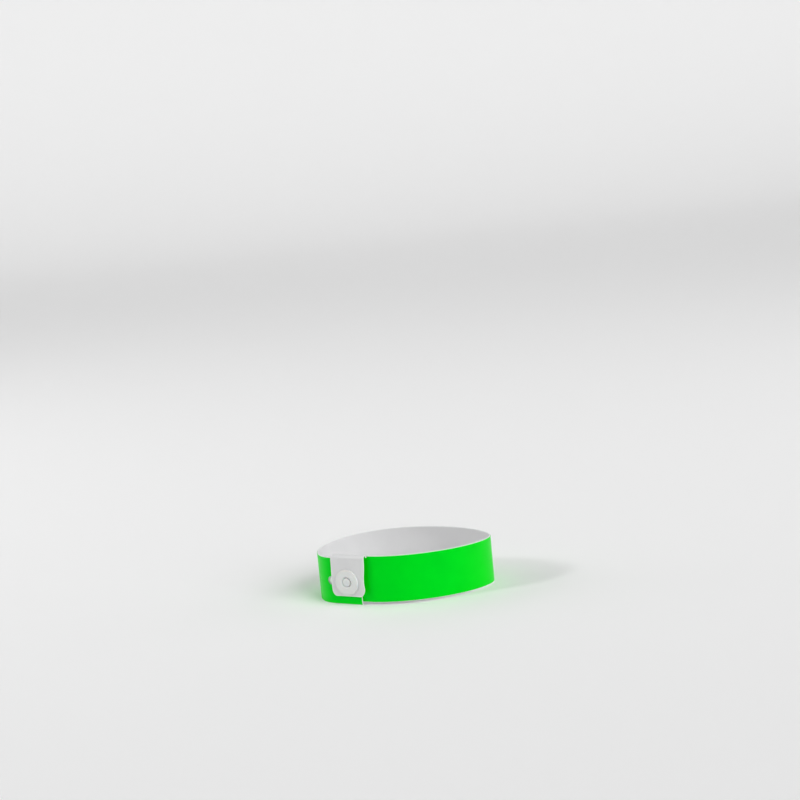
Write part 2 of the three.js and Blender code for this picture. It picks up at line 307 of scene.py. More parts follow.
def punch(bm, centre, radius, block):
    """Takes a square block of faces out and fills it in again round a round hole."""
    u, v = centre
    inside = [
        face
        for face in bm.faces
        if max(abs(face.calc_center_median().x - u), abs(face.calc_center_median().y - v)) < block
    ]
    bmesh.ops.delete(bm, geom=inside, context="FACES")
    rim = [
        vert
        for vert in bm.verts
        if max(abs(vert.co.x - u), abs(vert.co.y - v)) < block + 1e-4
    ]
    rim.sort(key=lambda vert: math.atan2(vert.co.y - v, vert.co.x - u))
    rings = [rim]
    for share in PUNCH_RINGS:
        ring = []
        for vert in rim:
            angle = math.atan2(vert.co.y - v, vert.co.x - u)
            round_point = Vector((u + radius * math.cos(angle), v + radius * math.sin(angle), 0))
            ring.append(bm.verts.new(vert.co.lerp(round_point, share)))
        rings.append(ring)
    for outer, inner in zip(rings, rings[1:]):
        for n in range(len(rim)):
            m = (n + 1) % len(rim)
            bm.faces.new((outer[n], outer[m], inner[m], inner[n]))


def edge_reach(points, outline, holes):
    """Distance of flat points from the nearest cut: the outline's sides or a hole's rim."""
    low_u, high_u, low_v, high_v = outline
    u, v = points[:, 0], points[:, 1]
    reach = np.minimum.reduce([u - low_u, high_u - u, v - low_v, high_v - v])
    for (hole_u, hole_v), radius in holes:
        reach = np.minimum(reach, np.abs(np.hypot(u - hole_u, v - hole_v) - radius))
    return np.maximum(reach, 0)


def only(obj):
    """Leaves just this object selected and active."""
    bpy.ops.object.select_all(action="DESELECT")
    obj.select_set(True)
    bpy.context.view_layer.objects.active = obj


def apply_all(obj):
    only(obj)
    for modifier in list(obj.modifiers):
        bpy.ops.object.modifier_apply(modifier=modifier.name)


CUT_SOFTNESS = 0.28  # bevel of a cut edge, as a share of the film's thickness
ENDLESS = 1e3  # stands for a side of an outline that is not cut, far away


def film_object(name, bm, thickness, outline, holes, bend, joined=None):
    """Gives a flat cut its thickness and soft cut edges, records where on the flat strap each
    point lies, and bends it to its place. An end that is joined to more film stays square."""
    bmesh.ops.recalc_face_normals(bm, faces=bm.faces)
    mesh = bpy.data.meshes.new(name)
    bm.to_mesh(mesh)
    bm.free()
    if mesh.polygons[0].normal.z < 0:
        mesh.flip_normals()
    obj = bpy.data.objects.new(name, mesh)
    bpy.context.scene.collection.objects.link(obj)
    thicken = obj.modifiers.new("Thickness", "SOLIDIFY")
    thicken.thickness = thickness
    thicken.offset = 0
    soften = obj.modifiers.new("Cut edge", "BEVEL")
    soften.width = thickness * CUT_SOFTNESS
    soften.segments = 2
    soften.limit_method = "ANGLE"
    soften.angle_limit = math.radians(60)
    apply_all(obj)
    count = len(obj.data.vertices)
    flat = np.empty(count * 3)
    obj.data.vertices.foreach_get("co", flat)
    flat = flat.reshape(-1, 3)
    if joined is not None:
        flat[np.abs(flat[:, 0] - joined) < thickness, 0] = joined
    reach = obj.data.attributes.new("cut_edge", "FLOAT", "POINT")
    reach.data.foreach_set("value", edge_reach(flat, outline, holes).astype(np.float32))
    layer = obj.data.uv_layers.new(name="strap")
    corner = np.empty(len(obj.data.loops), np.int32)
    obj.data.loops.foreach_get("vertex_index", corner)
    layer.data.foreach_set("uv", (flat[corner, :2] * MM).astype(np.float32).ravel())
    obj.data.vertices.foreach_set("co", (bend(flat) * MM).ravel())
    obj.data.update()
    only(obj)
    bpy.ops.object.shade_smooth_by_angle(angle=math.radians(32))
    return obj


# ---------------------------------------------------------------- finishes
def new_group(name, inputs, outputs):
    """An empty shader node group with named sockets."""
    group = bpy.data.node_groups.new(name, "ShaderNodeTree")
    for socket, default in inputs:
        made = group.interface.new_socket(socket, in_out="INPUT", socket_type="NodeSocketFloat")
        made.default_value = default
    for socket in outputs:
        group.interface.new_socket(socket, in_out="OUTPUT", socket_type="NodeSocketFloat")
    return group, group.nodes.new("NodeGroupInput"), group.nodes.new("NodeGroupOutput")


def math_node(tree, operation, first, second, clamp=False):
    node = tree.nodes.new("ShaderNodeMath")
    node.operation = operation
    node.use_clamp = clamp
    for socket, value in zip(node.inputs, (first, second)):
        if isinstance(value, (int, float)):
            socket.default_value = value
        else:
            tree.links.new(value, socket)
    return node.outputs[0]


def noise_node(tree, vector, scale, detail=2.0, rough=0.5):
    node = tree.nodes.new("ShaderNodeTexNoise")
    node.inputs["Detail"].default_value = detail
    node.inputs["Roughness"].default_value = rough
    if isinstance(scale, (int, float)):
        node.inputs["Scale"].default_value = scale
    else:
        tree.links.new(scale, node.inputs["Scale"])
    tree.links.new(vector, node.inputs["Vector"])
    return node.outputs["Fac"]


def ramp_node(tree, value, low, high):
    node = tree.nodes.new("ShaderNodeMapRange")
    node.interpolation_type = "SMOOTHSTEP"
    node.inputs["From Min"].default_value = low
    node.inputs["From Max"].default_value = high
    tree.links.new(value, node.inputs["Value"])
    return node.outputs["Result"]


def calendered_surface():
    """Rolled or moulded plastic: fine grain, slow waves, and a slight unevenness of gloss."""
    group, inside, outside = new_group(
        "Calendered Surface",
        [("Grain Size", 0.0002), ("Wave Size", 0.006), ("Wave Depth", 1.0), ("Grain Depth", 1.0)],
        ["Cloud", "Gloss Change", "Height"],
    )
    place = group.nodes.new("ShaderNodeTexCoord").outputs["Object"]
    grain_scale = math_node(group, "DIVIDE", 1.0, inside.outputs["Grain Size"])
    wave_scale = math_node(group, "DIVIDE", 1.0, inside.outputs["Wave Size"])
    grain = noise_node(group, place, grain_scale, 3.0, 0.6)
    wave = noise_node(group, place, wave_scale, 1.5, 0.4)
    cloud = noise_node(group, place, math_node(group, "MULTIPLY", wave_scale, 0.45), 3.0, 0.55)
    deep_grain = math_node(group, "MULTIPLY", grain, inside.outputs["Grain Depth"])
    deep_wave = math_node(group, "MULTIPLY", wave, inside.outputs["Wave Depth"])
    height = math_node(group, "ADD", deep_grain, deep_wave)
    change = math_node(group, "SUBTRACT", math_node(group, "ADD", grain, cloud), 1.0)
    group.links.new(ramp_node(group, cloud, 0.3, 0.7), outside.inputs["Cloud"])
    group.links.new(change, outside.inputs["Gloss Change"])
    group.links.new(height, outside.inputs["Height"])
    return group


def cut_edge_wear():
    """A mask that rises towards a film's cut edge, ragged by a little noise."""
    group, inside, outside = new_group(
        "Cut Edge Wear", [("Reach", 0.3), ("Raggedness", 0.1)], ["Mask"]
    )
    edge = group.nodes.new("ShaderNodeAttribute")
    edge.attribute_name = "cut_edge"
    place = group.nodes.new("ShaderNodeTexCoord").outputs["Object"]
    rag = noise_node(group, place, 900.0, 3.0, 0.6)
    centred = math_node(group, "SUBTRACT", rag, 0.5)
    shift = math_node(group, "MULTIPLY", centred, inside.outputs["Raggedness"])
    shifted = math_node(group, "ADD", edge.outputs["Fac"], shift)
    near = math_node(group, "DIVIDE", shifted, inside.outputs["Reach"])
    group.links.new(math_node(group, "SUBTRACT", 1.0, near, clamp=True), outside.inputs["Mask"])
    return group


def handling_marks():
    """Faint scuffs that run along the strap, and the shallow ripples of a bent film."""
    group, inside, outside = new_group(
        "Handling Marks",
        [("Scuffs", 1.0), ("Ripple Pitch", 0.007)],
        ["Scuff Mask", "Ripple Height"],
    )
    place = group.nodes.new("ShaderNodeUVMap")
    place.uv_map = "strap"
    stretch = group.nodes.new("ShaderNodeMapping")
    stretch.inputs["Scale"].default_value = (70.0, 2600.0, 1.0)
    stretch.inputs["Rotation"].default_value = (0.0, 0.0, 0.04)
    group.links.new(place.outputs["UV"], stretch.inputs["Vector"])
    lines = noise_node(group, stretch.outputs["Vector"], 1.0, 2.0, 0.5)
    patch = noise_node(group, place.outputs["UV"], 160.0, 2.0, 0.5)
    lines, patch = ramp_node(group, lines, 0.56, 0.7), ramp_node(group, patch, 0.42, 0.62)
    mask = math_node(group, "MULTIPLY", lines, patch)
    mask = math_node(group, "MULTIPLY", mask, inside.outputs["Scuffs"])
    group.links.new(mask, outside.inputs["Scuff Mask"])
    upright = group.nodes.new("ShaderNodeMapping")
    upright.inputs["Scale"].default_value = (1.0, 0.12, 1.0)
    group.links.new(place.outputs["UV"], upright.inputs["Vector"])
    pitch = math_node(group, "DIVIDE", 1.0, inside.outputs["Ripple Pitch"])
    ripple = noise_node(group, upright.outputs["Vector"], pitch, 1.0, 0.4)
    group.links.new(ripple, outside.inputs["Ripple Height"])
    return group


def place_group(tree, group, **values):
    node = tree.nodes.new("ShaderNodeGroup")
    node.node_tree = group
    for name, value in values.items():
        node.inputs[name.replace("_", " ")].default_value = value
    return node.outputs


def mix_colours(tree, factor, first, second):
    node = tree.nodes.new("ShaderNodeMix")
    node.data_type = "RGBA"
    colour_a, colour_b = [s for s in node.inputs if s.type == "RGBA"]
    for socket, value in ((colour_a, first), (colour_b, second)):
        if isinstance(value, tuple):
            socket.default_value = (*value, 1.0)
        else:
            tree.links.new(value, socket)
    tree.links.new(factor, node.inputs["Factor"])
    return next(s for s in node.outputs if s.type == "RGBA")


def plastic(
    name,
    colour,
    darker,
    roughness,
    bump,
    groups,
    edge_colour=None,
    bare_colour=None,
    marked=False,
    ripple_depth=8.0,
    **surface,
):
    """A plastic finish: clouded colour, paler cut edges, uneven gloss and fine relief."""
    material = bpy.data.materials.new(name)
    material.use_nodes = True
    tree = material.node_tree
    shader = tree.nodes["Principled BSDF"]
    skin = place_group(tree, groups["surface"], **surface)
    tint = mix_colours(tree, skin["Cloud"], darker, colour)
    rough = math_node(tree, "MULTIPLY", skin["Gloss Change"], 0.16)
    rough = math_node(tree, "ADD", rough, roughness)
    if edge_colour:
        wear = place_group(tree, groups["edge"], Reach=0.34, Raggedness=0.12)
        tint = mix_colours(tree, wear["Mask"], tint, edge_colour)
    if bare_colour:
        bare = tree.nodes.new("ShaderNodeAttribute")
        bare.attribute_name = "bare"
        tint = mix_colours(tree, bare.outputs["Fac"], tint, bare_colour)
    height = skin["Height"]
    if marked:
        marks = place_group(tree, groups["marks"], Scuffs=0.16, Ripple_Pitch=0.008)
        rough = math_node(tree, "ADD", rough, marks["Scuff Mask"], clamp=True)
        ripple = math_node(tree, "MULTIPLY", marks["Ripple Height"], ripple_depth)
        height = math_node(tree, "ADD", height, ripple)
    relief = tree.nodes.new("ShaderNodeBump")
    relief.inputs["Strength"].default_value = 1.0
    relief.inputs["Distance"].default_value = bump
    tree.links.new(height, relief.inputs["Height"])
    tree.links.new(tint, shader.inputs["Base Color"])
    tree.links.new(rough, shader.inputs["Roughness"])
    tree.links.new(relief.outputs["Normal"], shader.inputs["Normal"])
    return material, shader


def shades(colour, amount):
    return tuple(channel * amount for channel in colour)


def make_finishes(finish):
    groups = {
        "surface": calendered_surface(),
        "edge": cut_edge_wear(),
        "marks": handling_marks(),
    }
    face = tuple(finish.face_colour)
    green, shader = plastic(
        "Fluorescent vinyl film",
        face,
        shades(face, 0.93),
        finish.gloss,
        0.00001,
        groups,
        edge_colour=(0.02, 0.68, 0.05),
        bare_colour=(0.95, 0.95, 0.95),
        marked=True,
        Grain_Size=0.00035,
        Wave_Size=0.0045,
        Wave_Depth=1.2,
        Grain_Depth=0.3,
    )
    shader.inputs["Specular Tint"].default_value = (0.0, 1.0, 0.85, 1.0)
    shader.inputs["IOR"].default_value = 1.3
    # The face film also gives out a faint green light of its own. This is a painted glow: it
    # brightens and saturates the green whatever the lamps do, and stands in for the pigment's
    # fluorescence.
    shader.inputs["Emission Color"].default_value = (0.0, 1.0, 0.02, 1.0)
    shader.inputs["Emission Strength"].default_value = 0.04
    back = tuple(finish.back_colour)
    white, _ = plastic(
        "White vinyl film",
        back,
        shades(back, 0.96),
        0.46,
        0.00001,
        groups,
        edge_colour=(0.84, 0.84, 0.85),
        marked=True,
        Grain_Size=0.0003,
        Wave_Size=0.005,
        Wave_Depth=1.2,
        Grain_Depth=0.35,
    )
    core = tuple(finish.core_colour)
    milky, _ = plastic(
        "Milky core film", core, shades(core, 0.9), 0.55, 0.000005, groups, Grain_Size=0.00015
    )
    snap = tuple(finish.snap_colour)
    moulded, shader = plastic(
        "Moulded snap plastic",
        snap,
        shades(snap, 0.965),
        0.4,
        0.000006,
        groups,
        Grain_Size=0.00022,
        Wave_Size=0.003,
        Wave_Depth=0.7,
        Grain_Depth=0.25,
    )
    shader.inputs["Subsurface Weight"].default_value = 0.12
    shader.inputs["Subsurface Scale"].default_value = 0.001
    return {"face": green, "core": milky, "back": white, "snap": moulded}


def finish_piece(obj, material, body=None):
    obj.data.materials.clear()
    obj.data.materials.append(bpy.data.materials[material])
    if body:
        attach(obj, body)


FILM_FINISH = {
    "face": "Fluorescent vinyl film",
    "core": "Milky core film",
    "back": "White vinyl film",
}
COLUMN_STEP = 0.8
ROW_STEP = 1.6
HOLE_BLOCK = 2.6  # half the side of the square of faces that a hole is fitted into
TAIL_SHOWN = 55.0  # length of the tail piece


def film_margin(sizes, film):
    """The coloured film stops a little short of the cut edge, so the core shows there."""
    return sizes.colour_margin / MM if film == "face" else 0.0


class WRISTBAND_OT_strap(bpy.types.Operator):
    """Make the main strap, from the stud end round the back of the loop"""

    bl_idname = "wristband.strap"
    bl_label = "Main Strap"

    TAB = 2.6  # bare tab of the stud end, beyond the flap's edge
    TAB_LIFT = 0.4  # how far it springs out towards the tail
    TAB_SETTLED = 1.6  # where the lift has died away
    PRINT_FROM = 0.3  # where the printed colour begins
    PRINT_FULL = 0.4  # and where it is full
    NECK_HOLE = 1.8

    def execute(self, context):
        sizes = context.scene.wristband_sizes
        loop = LoopPath(sizes)
        end = loop.length + loop.left + sizes.tail_past_stud / MM - TAIL_SHOWN
        stud = (loop.left, loop.width / 2 - loop.END_RISE)
        crease = loop.crease - loop.END_RISE
        for film in FILMS:
            inner, outer = loop.film_span(sizes, film)
            margin = film_margin(sizes, film)
            low, high = margin, loop.width - margin
            marks = [-self.TAB, self.PRINT_FROM, self.PRINT_FULL]
            marks += [stud[0] - HOLE_BLOCK, stud[0] + HOLE_BLOCK]
            marks += [loop.flat, loop.flat + loop.SLIT, end]
            columns = stations(marks, COLUMN_STEP)
            heights = [low, stud[1] - HOLE_BLOCK, stud[1] + HOLE_BLOCK, crease, high]
            rows = stations(heights, ROW_STEP)

            def keep(u, v):
                return v < crease or u > loop.flat + loop.SLIT

            bm = flat_sheet(columns, rows, keep)
            hole = (stud, self.NECK_HOLE)
            punch(bm, *hole, HOLE_BLOCK)

            def bend(flat):
                gone = loop.smooth(flat[:, 0], -self.TAB / 2, self.TAB_SETTLED)
                lift = self.TAB_LIFT * (1 - gone)
                return loop.place(flat[:, 0], flat[:, 2] + (inner + outer) / 2 + lift, flat[:, 1])

            outline = (-self.TAB, ENDLESS, 0, loop.width)
            obj = film_object(
                f"strap_{film}_layer", bm, outer - inner, outline, [hole], bend, end
            )
            if film == "face":
                self.leave_bare(obj)
            finish_piece(obj, FILM_FINISH[film], "strap")
            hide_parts(f"strap_{film}_film")
        return {"FINISHED"}

    def leave_bare(self, obj):
        """Marks the tab, which the colour was not printed on."""
        edge = (self.PRINT_FROM + self.PRINT_FULL) / 2 * MM
        along = {}
        for loop, place in zip(obj.data.loops, obj.data.uv_layers["strap"].data):
            along[loop.vertex_index] = place.uv.x
        bare = obj.data.attributes.new("bare", "FLOAT", "POINT")
        for index, distance in along.items():
            bare.data[index].value = float(distance < edge)


class WRISTBAND_OT_tail(bpy.types.Operator):
    """Make the punched tail, which laps over the stud"""

    bl_idname = "wristband.tail"
    bl_label = "Punched Tail"

    PULL = 0.38  # how far the pull of the loop draws the tail's hole back against the post

    def execute(self, context):
        sizes = context.scene.wristband_sizes
        loop = LoopPath(sizes)
        end = loop.length + loop.left + sizes.tail_past_stud / MM
        start = end - TAIL_SHOWN
        on_stud = loop.length + loop.left
        pitch, radius = sizes.hole_pitch / MM, sizes.hole_radius / MM
        middle = loop.width / 2
        holes = [((on_stud - self.PULL - n * pitch, middle), radius) for n in range(2)]
        for film in FILMS:
            inner, outer = loop.film_span(sizes, film)
            margin = film_margin(sizes, film)
            marks = [start]
            for (u, _), _ in reversed(holes):
                marks += [u - HOLE_BLOCK, u + HOLE_BLOCK]
            columns = stations([*marks, end - margin], COLUMN_STEP)
            rows = stations(
                [margin, middle - HOLE_BLOCK, middle + HOLE_BLOCK, loop.width - margin], ROW_STEP
            )
            bm = flat_sheet(columns, rows)
            for hole in holes:
                punch(bm, *hole, HOLE_BLOCK)

            def bend(flat):
                return loop.place(flat[:, 0], flat[:, 2] + (inner + outer) / 2, flat[:, 1])

            outline = (-ENDLESS, end, 0, loop.width)
            obj = film_object(
                f"tail_{film}_layer", bm, outer - inner, outline, holes, bend, start
            )
            finish_piece(obj, FILM_FINISH[film])
            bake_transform(obj)
            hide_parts(f"tail_{film}_film")
        return {"FINISHED"}


class FlapShape:
    """Outline of the flap along its developed length, from the crease on the strap."""

    CORNER_LEFT = (1.7, 2.7)  # how far the lower left corner draws in, and over what height
    CORNER_RIGHT = (1.5, 2.4)
    SWELL = 0.5  # how far the right edge stands out above its corner
    SWELL_HEIGHT = 2.5  # of that above the free edge
    SWELL_SPREAD = 1.9
    SHOULDER = 0.75  # how far the left end of the fold draws in
    SHOULDER_SPREAD = 0.9
    LEFT_FLARE = 0.38  # how far the left edge stands out beyond the strap's end
    RIGHT_FLARE = 0.15
    SKEW = 0.022  # sideways slope of the folded plate
    WAIST = 0.85  # how far the right edge draws in, down to its swell
    CURL = 0.16  # lift of the plate's side edges off the strap

    def __init__(self, loop, sizes):
        self.loop = loop
        self.bottom = sizes.flap_margin / MM
        self.arc = math.pi * loop.fold_radius
        self.length = self.arc + loop.crease - self.bottom
        self.stud_at = self.arc + loop.crease - loop.width / 2

    def corner(self, above, size):
        draw, height = size
        share = np.clip(1 - above / height, 0, 1)
        return draw * (1 - np.sqrt(np.maximum(1 - share**2, 0)))

    def width_scale(self, u, v):
        """How much the outline draws in or stands out at each point, as a share of u."""
        above = self.length - v
        crest = v - self.arc / 2
        folded = LoopPath.smooth(v, 0, self.arc / 2)
        left = self.loop.left + self.LEFT_FLARE * folded - self.corner(above, self.CORNER_LEFT)
        left = left - self.SHOULDER * np.exp(-((crest / self.SHOULDER_SPREAD) ** 2))
        waist = self.WAIST * LoopPath.smooth(v, self.arc, self.length)
        swell = self.SWELL * np.exp(-(((above - self.SWELL_HEIGHT) / self.SWELL_SPREAD) ** 2))
        right = self.loop.right + self.RIGHT_FLARE * folded - waist + swell
        right = right - self.corner(above, self.CORNER_RIGHT)
        return np.where(u < 0, left / self.loop.left, right / self.loop.right)

    def bend(self, flat, middle):
        """Rolls the flat flap round the fold and lays its plate over the tail."""
        loop = self.loop
        u = flat[:, 0] * self.width_scale(flat[:, 0], flat[:, 1])
        v, offset = flat[:, 1], flat[:, 2] + middle
        angle = np.clip(v / loop.fold_radius, 0, math.pi)
        straight = np.maximum(v - self.arc, 0)
        radius = loop.fold_radius - offset
        folded = LoopPath.smooth(v, 0, self.arc)
        below = straight - (self.stud_at - self.arc)
        u = u - self.SKEW * folded * below
        lift = self.CURL * (np.abs(u) / 6) ** 3 * LoopPath.smooth(straight, 2, 9)
        level = loop.fold_radius - radius * np.cos(angle) + lift
        z = loop.crease + radius * np.sin(angle) - straight
        return loop.closure_place(u, level, z)


class WRISTBAND_OT_flap(bpy.types.Operator):
    """Make the flap with its fold, which lies over the tail"""

    bl_idname = "wristband.flap"
    bl_label = "Folded Flap"

    FOLD_STEP = 0.14
    PLATE_STEP = 0.6
    CORNER_STEP = 0.22
    NECK_HOLE = 2.4
    FOLD_LEVELS = (0.2, 1.6)  # outward levels between which the fold passes to the flap

    def execute(self, context):
        sizes = context.scene.wristband_sizes
        loop = LoopPath(sizes)
        shape = FlapShape(loop, sizes)
        for film in FILMS:
            inner, outer = loop.film_span(sizes, film)
            margin = film_margin(sizes, film)
            across = [-loop.left + margin, -HOLE_BLOCK, HOLE_BLOCK, loop.right - margin]
            columns = stations(across, self.PLATE_STEP)
            above, below = shape.stud_at - HOLE_BLOCK, shape.stud_at + HOLE_BLOCK
            rows = stations([0, shape.arc], self.FOLD_STEP)
            rows += stations([shape.arc, above, below], self.PLATE_STEP)[1:]
            rows += stations([below, shape.length - margin], self.CORNER_STEP)[1:]
            bm = flat_sheet(columns, rows)
            hole = ((0.0, shape.stud_at), self.NECK_HOLE)
            punch(bm, *hole, HOLE_BLOCK)

            def bend(flat):
                return shape.bend(flat, (inner + outer) / 2)

            outline = (-loop.left, loop.right, -ENDLESS, shape.length)
            obj = film_object(f"flap_{film}_layer", bm, outer - inner, outline, [hole], bend)
            finish_piece(obj, FILM_FINISH[film])
            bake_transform(obj)
            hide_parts(f"flap_{film}_film")
        return {"FINISHED"}


# ---------------------------------------------------------------- the snap
MOULDED_EDGE = 0.07  # bevel of a moulding's edges
WASHER_EDGE = 0.05


def disc_blank(name, radius, low, high, sides=96):
    """A disc standing on its back face, axis up, ready for its face to be worked."""
    bpy.ops.object.select_all(action="DESELECT")
    bpy.ops.mesh.primitive_cylinder_add(
        vertices=sides, radius=radius, depth=high - low, location=(0, 0, (low + high) / 2)
    )
    obj = bpy.context.active_object
    obj.name = obj.data.name = name
    bpy.ops.object.transform_apply(location=True, rotation=True, scale=True)
    return obj


def pick_cap(obj, top):
    """Selects the end face that lies highest or lowest, and nothing else."""
    bpy.ops.object.mode_set(mode="OBJECT")
    faces = obj.data.polygons
    choose = max if top else min
    cap = choose(faces, key=lambda face: round(face.center.z, 6))
    for group in (faces, obj.data.edges, obj.data.vertices):
        group.foreach_set("select", [False] * len(group))
    cap.select = True
    bpy.ops.object.mode_set(mode="EDIT")
    bpy.ops.mesh.select_mode(type="FACE")


def work_face(obj, top, start, steps):
    """Works an end face inwards: each step is the next radius and how far the face moves."""
    only(obj)
    pick_cap(obj, top)
    radius = start
    for next_radius, move in steps:
        if next_radius < radius:
            bpy.ops.mesh.inset(thickness=radius - next_radius, use_even_offset=True)
        elif move:
            bpy.ops.mesh.extrude_region_move()
        if move:
            bpy.ops.transform.translate(value=(0, 0, move))
        radius = next_radius
    bpy.ops.object.mode_set(mode="OBJECT")


def bore_through(obj, radius):
    """Joins the two worked end faces by a bore."""
    only(obj)
    bpy.ops.object.mode_set(mode="OBJECT")
    faces = obj.data.polygons
    for group in (faces, obj.data.edges, obj.data.vertices):
        group.foreach_set("select", [False] * len(group))
    for face in faces:
        face.select = len(face.vertices) > 8 and abs(face.normal.z) > 0.9
    bpy.ops.object.mode_set(mode="EDIT")
    bpy.ops.mesh.select_mode(type="FACE")
    bpy.ops.mesh.delete(type="ONLY_FACE")
    bpy.ops.mesh.select_mode(type="EDGE")
    bpy.ops.mesh.select_all(action="DESELECT")
    bpy.ops.mesh.select_non_manifold()
    bpy.ops.mesh.bridge_edge_loops()
    bpy.ops.mesh.select_all(action="SELECT")
    bpy.ops.mesh.normals_make_consistent(inside=False)
    bpy.ops.object.mode_set(mode="OBJECT")


def settle_snap_part(obj, loop, round_edge, body, *nodes):
    """Rounds a snap part's edges, and stands it on the closure with its axis outward."""
    soften = obj.modifiers.new("Moulded edge", "BEVEL")
    soften.width = round_edge
    soften.segments = 3
    soften.limit_method = "ANGLE"
    soften.angle_limit = math.radians(25)
    apply_all(obj)
    outward = Vector((*loop.outward, 0))
    up = Vector((0, 0, 1))
    side = up.cross(outward)
    turn = Matrix((side, up, outward)).transposed().to_4x4()
    place = Matrix.Translation(Vector((*loop.stud, loop.width / 2)))
    obj.data.transform(Matrix.Scale(MM, 4) @ place @ turn)
    only(obj)
    bpy.ops.object.shade_smooth_by_angle(angle=math.radians(40))
    finish_piece(obj, "Moulded snap plastic", body)
    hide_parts(*nodes)


class SnapLevels:
    """Distances outward from the strap's middle to each surface of the snap."""

    FLANGE = 0.7
    TIP_RECESS = 0.13  # of the stud's tip below the socket's outer face

    def __init__(self, loop):
        half = loop.half
        self.stud_back = -half - SEAT - self.FLANGE
        self.stud_front = -half - SEAT
        self.stud_washer = (half + SEAT, half + SEAT + WASHER)
        socket_washer = loop.tail_level + half + RUNNING
        self.socket_washer = (socket_washer, socket_washer + WASHER)
        self.socket_back = loop.flap_level + half + SEAT
        self.socket_front = self.socket_back + self.FLANGE
        self.tip = self.socket_front - self.TIP_RECESS


def make_washer(name, radius, neck, span, loop, body, node):
    """A flat ring round a snap part's neck, between two levels."""
    washer = disc_blank(name, radius, *span)
    inner = neck + WASHER_CLEARANCE
    for top in (True, False):
        work_face(washer, top, radius, [(inner, 0)])
    bore_through(washer, inner)
    settle_snap_part(washer, loop, WASHER_EDGE, body, node)


class WRISTBAND_OT_stud(bpy.types.Operator):
    """Make the stud, whose post comes out through strap, tail and flap, and its washer"""

    bl_idname = "wristband.stud"
    bl_label = "Snap Stud"

    FLANGE_RADIUS = 4.2
    NECK_RADIUS = 1.7
    POST_RADIUS = 1.1
    HEAD_RADIUS = 1.42
    HEAD_FLARE = 0.2  # height over which the post widens to the head
    TIP_RADIUS = 1.3
    TIP_TAPER = 0.16  # height over which the head narrows to the tip
    WASHER_RADIUS = 3.0

    def execute(self, context):
        loop = LoopPath(context.scene.wristband_sizes)
        levels = SnapLevels(loop)
        stud = disc_blank(
            "snap_stud_moulding", self.FLANGE_RADIUS, levels.stud_back, levels.stud_front
        )
        shoulder = levels.stud_washer[1] - levels.stud_front
        head = levels.socket_washer[1] + loop.half - levels.stud_washer[1]
        tip = levels.tip - self.TIP_TAPER - levels.stud_front - shoulder - head
        work_face(
            stud,
            True,
            self.FLANGE_RADIUS,
            [
                (self.NECK_RADIUS, 0),
                (self.NECK_RADIUS, shoulder),
                (self.POST_RADIUS, 0),
                (self.POST_RADIUS, head - self.HEAD_FLARE),
            ],
        )
        only(stud)
        pick_cap(stud, True)
        spread = self.HEAD_RADIUS / self.POST_RADIUS
        bpy.ops.mesh.extrude_region_move(
            TRANSFORM_OT_translate={"value": (0, 0, self.HEAD_FLARE)}
        )
        bpy.ops.transform.resize(value=(spread, spread, 1))
        bpy.ops.mesh.extrude_region_move(TRANSFORM_OT_translate={"value": (0, 0, tip)})
        bpy.ops.object.mode_set(mode="OBJECT")
        work_face(
            stud,
            True,
            self.HEAD_RADIUS,
            [
                (self.TIP_RADIUS, self.TIP_TAPER),
                (self.TIP_RADIUS * 0.62, 0.02),
                (0.34, -0.05),
                (0.12, 0),
            ],
        )
        work_face(
            stud,
            False,
            self.FLANGE_RADIUS,
            [
                (self.FLANGE_RADIUS - 0.5, 0),
                (self.FLANGE_RADIUS - 0.9, 0.06),
                (0.9, 0),
                (0.6, 0.08),
                (0.2, 0),
            ],
        )
        settle_snap_part(stud, loop, MOULDED_EDGE, "strap", "snap_stud")
        make_washer(
            "stud_washer_moulding",
            self.WASHER_RADIUS,
            self.NECK_RADIUS,
            levels.stud_washer,
            loop,
            "strap",
            "stud_washer",
        )
        return {"FINISHED"}


class WRISTBAND_OT_socket(bpy.types.Operator):
    """Make the socket disc on the flap, with the ring round the stud's tip, and its washer"""

    bl_idname = "wristband.socket"
    bl_label = "Snap Socket"

    BORE_RADIUS = 1.5
    RING_RADIUS = 1.95  # outer edge of the ring sunk round the stud's tip
    RING_DEPTH = 0.55
    DOME = 0.12  # height of the disc's slightly domed face
    NECK_RADIUS = 2.3
    WASHER_RADIUS = 3.4

    def execute(self, context):
        sizes = context.scene.wristband_sizes
        loop = LoopPath(sizes)
        levels = SnapLevels(loop)
        radius = sizes.socket_radius / MM
        rim = levels.socket_front - self.DOME
        socket = disc_blank("snap_socket_moulding", radius, levels.socket_back, rim)
        work_face(
            socket,
            True,
            radius,
            [
                (radius - 0.22, 0.05),
                (radius - 0.8, 0.04),
                (radius - 1.5, 0.02),
                (self.RING_RADIUS + 0.12, 0.01),
                (self.RING_RADIUS, -0.02),
                (self.BORE_RADIUS + 0.12, -self.RING_DEPTH),
                (self.BORE_RADIUS, 0),
            ],
        )
        neck = levels.socket_back - levels.socket_washer[0]
        work_face(
            socket,
            False,
            radius,
            [(self.NECK_RADIUS, 0), (self.NECK_RADIUS, -neck), (self.BORE_RADIUS, 0)],
        )
        bore_through(socket, self.BORE_RADIUS)
        settle_snap_part(socket, loop, MOULDED_EDGE, "flap", "snap_socket")
        make_washer(
            "socket_washer_moulding",
            self.WASHER_RADIUS,
            self.NECK_RADIUS,
            levels.socket_washer,
            loop,
            "flap",
            "socket_washer",
        )
        return {"FINISHED"}


# ---------------------------------------------------------------- the studio
def add_light(name, kind, place, aim):
    """A light that stands at a place and faces a point."""
    data = bpy.data.lights.new(name, kind)
    light = bpy.data.objects.new(name, data)
    bpy.context.scene.collection.objects.link(light)
    light.location = place
    light.rotation_mode = "QUATERNION"
    light.rotation_quaternion = (Vector(aim) - Vector(place)).to_track_quat("-Z", "Y")
    return data


